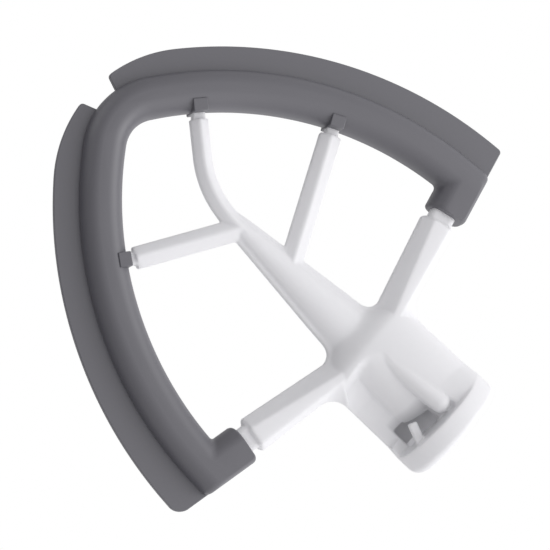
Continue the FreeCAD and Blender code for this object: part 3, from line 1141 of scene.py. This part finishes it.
@dataclass
class Casting:
    """The coated metal casting: hub, spine, arms and spokes, in millimetres and degrees."""

    rim: Rim = field(default_factory=Rim)
    hub: Hub = field(default_factory=Hub)
    spine: Spine = field(default_factory=Spine)
    arm: Arm = field(default_factory=Arm)
    spoke: Spoke = field(default_factory=Spoke)
    fillets: Fillets = field(default_factory=Fillets)
    # Painted shade in the bore and the pin chambers.
    painted_shade: PaintedShade = field(default_factory=PaintedShade)
    blend: Blend = Blend(voxel=0.32, passes=5, extra_passes=80, keep=0.5)
    junction: Vector = field(default_factory=lambda: Vector((0, 0, -40.5)))
    junction_reach: float = 14.0
    junction_core: float = 5.25
    left_rim_angle: float = 38.0
    left_root_z: float = -86.2
    second_rim_angle: float = 26.1
    second_root_z: float = -67.5
    curved_width: float = 5.4
    curved_slant: float = 48.5
    curved_bend: float = 30.0
    curved_bend_z: float = -88.0
    curved_root_z: float = -81.4

    def curved_path(self) -> list[Vector]:
        """Path of the bent spoke on the left side, before it is mirrored.

        Returns:
            Points from the spine to the sleeve's inner edge.
        """
        slant = math.radians(self.curved_slant)
        centre = plane_point(self.curved_bend, self.curved_bend_z)
        bend = plane_point(0, self.curved_bend_z)
        along = plane_point(math.cos(slant), -math.sin(slant))
        leave = centre - plane_point(math.sin(slant), math.cos(slant)) * self.curved_bend
        contact = far_crossing(self.rim.centre, self.rim.inner_radius, leave, along)
        arc = short_arc(centre, bend, leave, self.spoke.bend_steps)
        return [plane_point(0, self.curved_root_z)] + arc + [leave, contact]

    def contacts(self) -> list[Vector]:
        """Where the spokes meet the sleeve.

        Returns:
            Points of the left, the second and the bent spoke.
        """
        second = self.rim.contact(self.second_rim_angle)
        curved = self.curved_path()[-1]
        return [self.rim.contact(self.left_rim_angle)] + mirrored([second]) + mirrored([curved])

    def softness(self, place: Vector) -> float:
        """Share of the extra softening at a place: full where the arms, hub and spine run together."""
        return ease((place - self.junction).length, self.junction_reach, self.junction_core)

    def build(self, finish: bpy.types.Material) -> bpy.types.Object:
        """Makes the casting.

        Args:
            finish: Its coat.

        Returns:
            The finished piece.
        """
        maker = MeshMaker("casting_forms")
        self.hub.build(maker)
        self.spine.build(maker)
        self.arm.build(maker, self.rim)
        self.fillets.build(maker, self.arm, self.rim, self.spine, self.hub.side)
        left, second, curved = self.contacts()
        tree = self.spoke.tree(finish)
        curved_path = list(reversed(mirrored(self.curved_path())))
        paths = [
            ([plane_point(0, self.left_root_z), left], left, self.spoke.width),
            ([plane_point(0, self.second_root_z), second], second, self.spoke.width),
            (curved_path, curved, self.curved_width),
        ]
        for path, contact, width in paths:
            self.spoke.build(maker, tree, path, contact, width)
        piece = fuse(maker.finish(), self.blend, "coated_casting", self.softness, self.hub.fine)
        bpy.data.node_groups.remove(tree)
        # Painted shade: share of darkening in the bore and pin chambers, kept as a point attribute that the
        # coat reads.
        painted_shade_share = [self.painted_shade.share(self.hub, vertex.co / MILLIMETRE) for vertex in piece.data.vertices]
        piece.data.attributes.new(SHADE_ATTRIBUTE, "FLOAT", "POINT").data.foreach_set("value", painted_shade_share)
        return piece


@dataclass
class WiperEdge:
    """The silicone edge: crowned sleeve, square collars and thin flaps, in millimetres and degrees."""

    rim: Rim = field(default_factory=Rim)
    front_inset: float = 5.2
    front_power: float = 0.95
    front_round: float = 6.0
    front_edge: float = 0.5
    back_inset: float = 3.4
    back_round: float = 3.4
    back_edge: float = 2.1
    crown_sweep: float = 86.0
    crown_steps: int = 16
    end_round: float = 1.8
    end_share: float = 0.06
    side_share: float = 0.3
    return_width: float = 12.0
    return_shift: float = 0.6
    return_hub_round: float = 1.2
    return_tip_round: float = 0.9
    nook_round: float = 1.4
    pad_width: float = 4.2
    pad_depth: float = 3.2
    pad_proud: float = 0.4
    pad_thickness: float = 11.0
    flap_width: float = 11.7
    flap_thickness: float = 2.2
    flap_offset: float = 2.6
    flap_root: float = 2.0
    flap_shift: float = -2.2
    flap_lift: float = 4.1
    flap_tip_radius: float = 41.0
    flap_gap_outer: float = 11.4
    flap_gap_inner: float = 6.6
    flap_gap_offset: float = -0.9
    flap_gap_round: float = 1.2
    flap_end_left: float = 4.0
    flap_end_right: float = 1.2
    flap_reach_right: float = 0.3
    edge_round: float = 0.35
    edge_segments: int = 2
    edge_angle: float = 60.0
    crease: float = 20.0
    tip_steps: int = 30
    side_steps: int = 140
    inner_steps: int = 130
    bend_steps: int = 20
    nook_steps: int = 10
    end_steps: int = 8
    corner_steps: int = 6
    flat_steps: int = 8
    flap_tip_steps: int = 40
    flap_side_steps: int = 160

    def outline(self, inset: float) -> list[Vector]:
        """Outline of the sleeve at one depth.

        Args:
            inset: How far it is drawn in from the widest outline.

        Returns:
            Closed outline in the blade plane.
        """
        rim = self.rim
        end_inset = inset * self.end_share
        centre, along, across = rim.centre, rim.along, rim.across
        inner = rim.inner_radius + inset
        outer = rim.inner_radius + rim.width - inset
        middle = rim.neck + across * self.return_shift + along * end_inset
        hub_side = middle + across * (self.return_width / 2 - inset * self.side_share)
        tip_side = middle - across * (self.return_width / 2 - inset)
        tip = rim.tip_centre(centre, rim.inner_radius + rim.width, rim.outer_tip_round)
        tip_arc = on_circle(centre, outer, tip)
        end = far_crossing(centre, outer - self.end_round, hub_side - across * self.end_round, along)
        end_arc = on_circle(centre, outer, end)
        end_flat = end + across * self.end_round
        hub_corner = corner_round(hub_side, hub_side + along, tip_side, self.return_hub_round)
        tip_corner = corner_round(tip_side, hub_side, tip_side + along, self.return_tip_round)
        nook = far_crossing(centre, inner - self.nook_round, tip_side - across * self.nook_round, along)
        nook_arc = on_circle(centre, inner, nook)
        nook_flat = nook + across * self.nook_round
        bend = rim.tip_centre(centre, rim.inner_radius, rim.inner_tip_round)
        bend_arc = on_circle(centre, inner, bend)
        bottom = bend + plane_point(0, -rim.inner_tip_round - inset)
        lowest = tip + plane_point(0, inset - rim.outer_tip_round)
        half = (
            short_arc(tip, lowest, tip_arc, self.tip_steps)
            + short_arc(centre, tip_arc, end_arc, self.side_steps)
            + short_arc(end, end_arc, end_flat, self.end_steps)
            + run(end_flat, hub_corner[0], self.flat_steps)
            + short_arc(hub_corner[2], hub_corner[0], hub_corner[1], self.corner_steps)
            + run(hub_corner[1], tip_corner[0], self.flat_steps)
            + short_arc(tip_corner[2], tip_corner[0], tip_corner[1], self.corner_steps)
            + run(tip_corner[1], nook_flat, self.flat_steps)
            + short_arc(nook, nook_flat, nook_arc, self.nook_steps)
            + short_arc(centre, nook_arc, bend_arc, self.inner_steps)
            + short_arc(bend, bend_arc, bottom, self.bend_steps)
            + [bottom]
        )
        return half + mirrored(half[1:-1])

    def sleeve(self, maker: MeshMaker) -> None:
        """Adds the sleeve, drawn in towards its back and its crowned front.

        Args:
            maker: Mesh that takes the sleeve.
        """
        front: list[tuple[float, float]] = []
        back: list[tuple[float, float]] = []
        for share in shares(self.crown_steps):
            swing = math.radians(self.crown_sweep) * share
            low, high = math.cos(swing), math.sin(swing)
            front.append((self.front_inset * (1 - low ** self.front_power),
                          self.front_edge - self.front_round * high ** self.front_power))
            back.append((self.back_inset * (1 - low), self.back_edge + self.back_round * high))
        profile = list(reversed(front)) + back
        maker.loft([[at_depth(p, depth) for p in self.outline(inset)] for inset, depth in profile])

    def flap(self, maker: MeshMaker, end_round: float, end_reach: float, gap_offset: float,
             mirror: bool) -> None:
        """Adds the thin flap of one side.

        Args:
            maker: Mesh that takes the flap.
            end_round: Radius of its outer corner at the hub end.
            end_reach: How far its hub end stands past the sleeve.
            gap_offset: How far the tip gap is moved towards it.
            mirror: Whether it is the flap of the right side.
        """
        rim = self.rim
        hub_side = rim.neck + rim.across * (self.return_shift + self.return_width / 2 + end_reach)
        centre = rim.centre + plane_point(self.flap_shift, self.flap_lift)
        sleeve_outer = rim.inner_radius + rim.width
        outer = sleeve_outer + self.flap_width
        root = sleeve_outer - self.flap_root
        down = plane_point(0, -1)
        tip = rim.tip_centre(centre, outer, self.flap_tip_radius)
        root_tip = rim.tip_centre(rim.centre, sleeve_outer, rim.outer_tip_round)
        gap_out = far_crossing(
            tip, self.flap_tip_radius, plane_point(self.flap_gap_outer / 2 + gap_offset, 0), down)
        gap_in = far_crossing(
            root_tip, rim.outer_tip_round - self.flap_root,
            plane_point(self.flap_gap_inner / 2 + gap_offset, 0), down)
        tip_arc = on_circle(centre, outer, tip)
        root_arc = on_circle(rim.centre, root, root_tip)
        end_out = far_crossing(centre, outer, hub_side, rim.along)
        end_in = far_crossing(rim.centre, root, hub_side, rim.along)
        outline = (
            run(gap_in, gap_out, self.flat_steps)
            + short_arc(tip, gap_out, tip_arc, self.flap_tip_steps)
            + short_arc(centre, tip_arc, end_out, self.flap_side_steps)
            + run(end_out, end_in, self.flat_steps)
            + short_arc(rim.centre, end_in, root_arc, self.side_steps)
            + short_arc(root_tip, root_arc, gap_in, self.tip_steps)
        )
        outline = round_vertex(outline, outline.index(end_out), end_round, self.nook_steps)
        outline = round_vertex(outline, outline.index(gap_out), self.flap_gap_round, self.corner_steps)
        if mirror:
            outline = mirrored(outline)
        maker.prism(
            outline, self.flap_offset - self.flap_thickness / 2, self.flap_offset + self.flap_thickness / 2)

    def pad(self, maker: MeshMaker, contact: Vector) -> None:
        """Adds the square collar round a spoke's neck.

        Args:
            maker: Mesh that takes the collar.
            contact: Where the spoke meets the sleeve's inner edge.
        """
        side = -1 if contact.x < 0 else 1
        centre = Vector((self.rim.centre.x * side, self.rim.centre.y))
        outward = (contact - centre).normalized()
        across = plane_point(-outward.y, outward.x) * (self.pad_width / 2)
        start = contact - outward * self.pad_proud
        end = contact + outward * self.pad_depth
        maker.prism(
            [start - across, start + across, end + across, end - across],
            -self.pad_thickness / 2, self.pad_thickness / 2)

    def build(self, contacts: Sequence[Vector]) -> bpy.types.Object:
        """Makes the silicone edge.

        Args:
            contacts: Where the spokes meet the sleeve.

        Returns:
            The finished piece.
        """
        sleeve = MeshMaker("sleeve_form")
        self.sleeve(sleeve)
        maker = MeshMaker("flap_forms")
        self.flap(maker, self.flap_end_left, 0.0, self.flap_gap_offset, False)
        self.flap(maker, self.flap_end_right, self.flap_reach_right, -self.flap_gap_offset, True)
        for contact in contacts:
            self.pad(maker, contact)
        flaps = maker.finish()
        bevel = flaps.modifiers.new("soft_edges", "BEVEL")
        bevel.width = self.edge_round
        bevel.segments = self.edge_segments
        bevel.limit_method = "ANGLE"
        bevel.angle_limit = math.radians(self.edge_angle)
        piece = finished(combine(sleeve.finish(), flaps, Join.FUSE), "silicone_wiper_edge")
        piece.data.set_sharp_from_angle(angle=math.radians(self.crease))
        return piece


def mottle_group() -> bpy.types.ShaderNodeTree:
    """Builds the shared effect: soft mottling and fine grain over a surface.

    Returns:
        A node group with a mask and a height that change over the surface.
    """
    group = bpy.data.node_groups.new("surface_mottle", "ShaderNodeTree")
    for title in ("Patch Scale", "Grain Scale", "Grain Share"):
        group.interface.new_socket(title, in_out="INPUT", socket_type="NodeSocketFloat")
    for title in ("Mask", "Height"):
        group.interface.new_socket(title, in_out="OUTPUT", socket_type="NodeSocketFloat")
    wiring = Wiring(group)
    entry = wiring.add("NodeGroupInput").outputs
    place = wiring.add("ShaderNodeTexCoord").outputs["Object"]
    patches, grain = (
        wiring.add("ShaderNodeTexNoise", {"Vector": place, "Scale": entry[title], "Detail": detail}).outputs[0]
        for title, detail in (("Patch Scale", PATCH_DETAIL), ("Grain Scale", GRAIN_DETAIL)))
    mix = wiring.add("ShaderNodeMix", {"Factor": entry["Grain Share"], "A": patches, "B": grain})
    wiring.add("NodeGroupOutput", {"Mask": mix.outputs["Result"], "Height": grain})
    return group


@dataclass(frozen=True)
class Finish:
    """One finish of the part."""

    name: str
    dark: tuple[float, float, float]
    light: tuple[float, float, float]
    rough_low: float
    rough_high: float
    specular: float
    patch_scale: float
    grain_scale: float
    grain_share: float
    bump_strength: float
    bump_distance: float
    # Colour of painted shade that the coat darkens to in the bore and pin chambers.
    painted_shade: Optional[tuple[float, float, float]] = None
    scatter: float = 0.0
    scatter_reach: float = 0.003
    refraction: float = 1.5

    def material(self, mottle: bpy.types.ShaderNodeTree) -> bpy.types.Material:
        """Builds the material of this finish.

        Args:
            mottle: The shared mottling effect.

        Returns:
            The new material.
        """
        made = bpy.data.materials.new(self.name)
        made.use_nodes = True
        wiring = Wiring(made.node_tree)
        effect = wiring.add("ShaderNodeGroup", {
            "Patch Scale": self.patch_scale, "Grain Scale": self.grain_scale, "Grain Share": self.grain_share,
        }, node_tree=mottle)
        mask = effect.outputs["Mask"]
        colour = wiring.add(
            "ShaderNodeMix", {"Factor": mask, "A": (*self.dark, 1), "B": (*self.light, 1)}, data_type="RGBA")
        # Painted shade: mixes the colour towards a darker grey by the shade attribute.
        if self.painted_shade is not None:
            share = wiring.add("ShaderNodeAttribute", attribute_name=SHADE_ATTRIBUTE)
            colour = wiring.add("ShaderNodeMix", {
                "Factor": share.outputs["Fac"], "A": colour.outputs["Result"], "B": (*self.painted_shade, 1),
            }, data_type="RGBA")
        rough = wiring.add(
            "ShaderNodeMapRange", {"Value": mask, "To Min": self.rough_low, "To Max": self.rough_high})
        bump = wiring.add("ShaderNodeBump", {
            "Strength": self.bump_strength, "Distance": self.bump_distance, "Height": effect.outputs["Height"],
        })
        wiring.fill(made.node_tree.nodes["Principled BSDF"], {
            "Base Color": colour.outputs["Result"], "Roughness": rough.outputs["Result"],
            "Normal": bump.outputs["Normal"], "Specular IOR Level": self.specular, "IOR": self.refraction,
            "Subsurface Weight": self.scatter, "Subsurface Radius": (1, 1, 1),
            "Subsurface Scale": self.scatter_reach,
        })
        return made


# The coat's grey in the bore and pin chambers is painted shade.
COAT = Finish(
    name="white_nonstick_coat", dark=(0.87, 0.87, 0.885), light=(0.915, 0.915, 0.925),
    rough_low=0.30, rough_high=0.44, specular=0.45, patch_scale=70.0, grain_scale=700.0, grain_share=0.45,
    bump_strength=0.12, bump_distance=0.00012, painted_shade=(0.48, 0.48, 0.495), scatter=0.45)
SILICONE = Finish(
    name="grey_moulded_silicone", dark=(0.074, 0.072, 0.087), light=(0.100, 0.098, 0.115),
    rough_low=0.42, rough_high=0.54, specular=1.0, patch_scale=55.0, grain_scale=2600.0, grain_share=0.6,
    bump_strength=0.18, bump_distance=0.00006, refraction=1.66)


@dataclass
class Studio:
    """Floor, light and camera, in metres and degrees."""

    floor_height: float = -1.60
    floor_size: float = 1.2
    floor_thickness: float = 0.01
    floor_colour: tuple[float, float, float] = (0.80, 0.80, 0.80)
    floor_roughness: float = 0.8
    lamp_from: Vector = field(default_factory=lambda: Vector((-0.50, -0.55, 0.67)).normalized())
    lamp_distance: float = 0.50
    lamp_size: float = 0.30
    lamp_power: float = 0.42
    light_from: Vector = field(default_factory=lambda: Vector((-0.35, -0.20, 0.92)).normalized())
    light_colour: tuple[float, float, float] = (0.985, 0.978, 1.0)
    ambient: float = 0.70
    swing: float = 0.52
    backdrop: Vector = field(default_factory=lambda: Vector((-0.25, 0.96, 0.10)).normalized())
    backdrop_edge: tuple[float, float] = (0.2, 0.8)
    backdrop_level: float = 0.15
    yaw: float = 14.72
    pitch: float = -5.67
    roll: float = 133.49
    distance: float = 0.71429
    nearest: float = 0.01
    target: Vector = field(default_factory=lambda: Vector((0, 0, -0.0734)))
    focal_pixels: float = 2500.0
    image_size: float = 550.0
    target_pixel: tuple[float, float] = (272.82, 259.63)

    def floor(self) -> None:
        """Lays the pale floor below the camera."""
        maker = MeshMaker("studio_floor")
        half = self.floor_size / 2
        corners = ((-half, -half), (half, -half), (half, half), (-half, half))
        heights = (self.floor_height - self.floor_thickness, self.floor_height)
        maker.loft([[Vector((x, y, z)) for x, y in corners] for z in heights])
        floor = maker.finish()
        pale = bpy.data.materials.new("pale_floor")
        pale.use_nodes = True
        shader = pale.node_tree.nodes["Principled BSDF"]
        shader.inputs["Base Color"].default_value = (*self.floor_colour, 1)
        shader.inputs["Roughness"].default_value = self.floor_roughness
        floor.data.materials.append(pale)

    def world(self) -> None:
        """Surrounds the part with soft light that is stronger from one side, before a white background."""
        world = bpy.data.worlds.new("soft_studio")
        bpy.context.scene.world = world
        world.use_nodes = True
        world.node_tree.nodes.clear()
        wiring = Wiring(world.node_tree)
        place = wiring.add("ShaderNodeTexCoord").outputs["Generated"]
        facing, behind = (
            wiring.add("ShaderNodeVectorMath", {0: place, 1: side}, operation="DOT_PRODUCT").outputs["Value"]
            for side in (self.light_from, self.backdrop))
        level = wiring.add(
            "ShaderNodeMath", {0: facing, 1: self.swing, 2: self.ambient}, operation="MULTIPLY_ADD")
        start, end = self.backdrop_edge
        sheet = wiring.add("ShaderNodeMapRange", {
            "Value": behind, "From Min": start, "From Max": end, "To Max": self.backdrop_level,
        }, interpolation_type="SMOOTHSTEP")
        both = wiring.add("ShaderNodeMath", {0: level.outputs[0], 1: sheet.outputs["Result"]}, operation="ADD")
        lit = wiring.add("ShaderNodeMath", {0: both.outputs[0], 1: 0.0}, operation="MAXIMUM")
        soft = wiring.add(
            "ShaderNodeBackground", {"Color": (*self.light_colour, 1), "Strength": lit.outputs[0]})
        white = wiring.add("ShaderNodeBackground", {"Color": (1, 1, 1, 1)})
        rays = wiring.add("ShaderNodeLightPath").outputs
        seen = wiring.add(
            "ShaderNodeMath", {0: rays["Is Camera Ray"], 1: rays["Is Transmission Ray"]}, operation="MAXIMUM")
        mix = wiring.add("ShaderNodeMixShader", {0: seen.outputs[0], 1: soft.outputs[0], 2: white.outputs[0]})
        wiring.add("ShaderNodeOutputWorld", {"Surface": mix.outputs[0]})

    def lamp(self) -> None:
        """Hangs the soft lamp by the right of the part."""
        data = bpy.data.lights.new("soft_lamp", "AREA")
        data.shape = "DISK"
        data.size = self.lamp_size
        data.energy = self.lamp_power
        aim = self.lamp_from.to_track_quat("Z", "Y").to_matrix().to_4x4()
        stand = Matrix.Translation(self.target + self.lamp_from * self.lamp_distance)
        placed("soft_lamp", data).matrix_world = stand @ aim

    def camera(self) -> None:
        """Sets the camera at the photograph's viewing angle."""
        a, e, roll = math.radians(self.yaw), math.radians(self.pitch), math.radians(self.roll)
        back = Vector((math.sin(a) * math.cos(e), -math.cos(a) * math.cos(e), math.sin(e)))
        right = Vector((math.cos(a), math.sin(a), 0))
        up = Vector((-math.sin(a) * math.sin(e), math.cos(a) * math.sin(e), math.cos(e)))
        turned_right = right * math.cos(roll) + up * math.sin(roll)
        turned_up = up * math.cos(roll) - right * math.sin(roll)
        data = bpy.data.cameras.new("photo_camera")
        data.sensor_fit = "HORIZONTAL"
        data.angle = 2 * math.atan(self.image_size / 2 / self.focal_pixels)
        data.shift_x = (self.image_size / 2 - self.target_pixel[0]) / self.image_size
        data.shift_y = (self.target_pixel[1] - self.image_size / 2) / self.image_size
        data.clip_start = self.nearest
        camera = placed("photo_camera", data)
        axes = Matrix((turned_right, turned_up, back)).transposed().to_4x4()
        camera.matrix_world = Matrix.Translation(self.target + back * self.distance) @ axes
        bpy.context.scene.camera = camera

    def build(self) -> None:
        """Sets up the whole studio."""
        bpy.context.scene.view_settings.view_transform = "Standard"
        self.floor()
        self.world()
        self.lamp()
        self.camera()


def dress(piece: bpy.types.Object, finish: bpy.types.Material, node: Node) -> None:
    """Gives a piece its finish and puts it in a CAD node's place.

    Args:
        piece: The finished piece.
        finish: Its material.
        node: The CAD node that it stands for.
    """
    piece.data.materials.clear()
    piece.data.materials.append(finish)
    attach(piece, "root")
    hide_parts(node.value)
    LOG.info("%s: %d faces", piece.name, len(piece.data.polygons))


def main() -> None:
    """Builds the part and the studio."""
    logging.basicConfig(level=logging.INFO, format="%(name)s: %(message)s")
    mottle = mottle_group()
    coat = COAT.material(mottle)
    silicone = SILICONE.material(mottle)
    casting = Casting()
    dress(casting.build(coat), coat, Node.CASTING)
    wiper = WiperEdge(rim=casting.rim)
    dress(wiper.build(casting.contacts()), silicone, Node.WIPER)
    Studio().build()


if __name__ == "__main__":
    main()
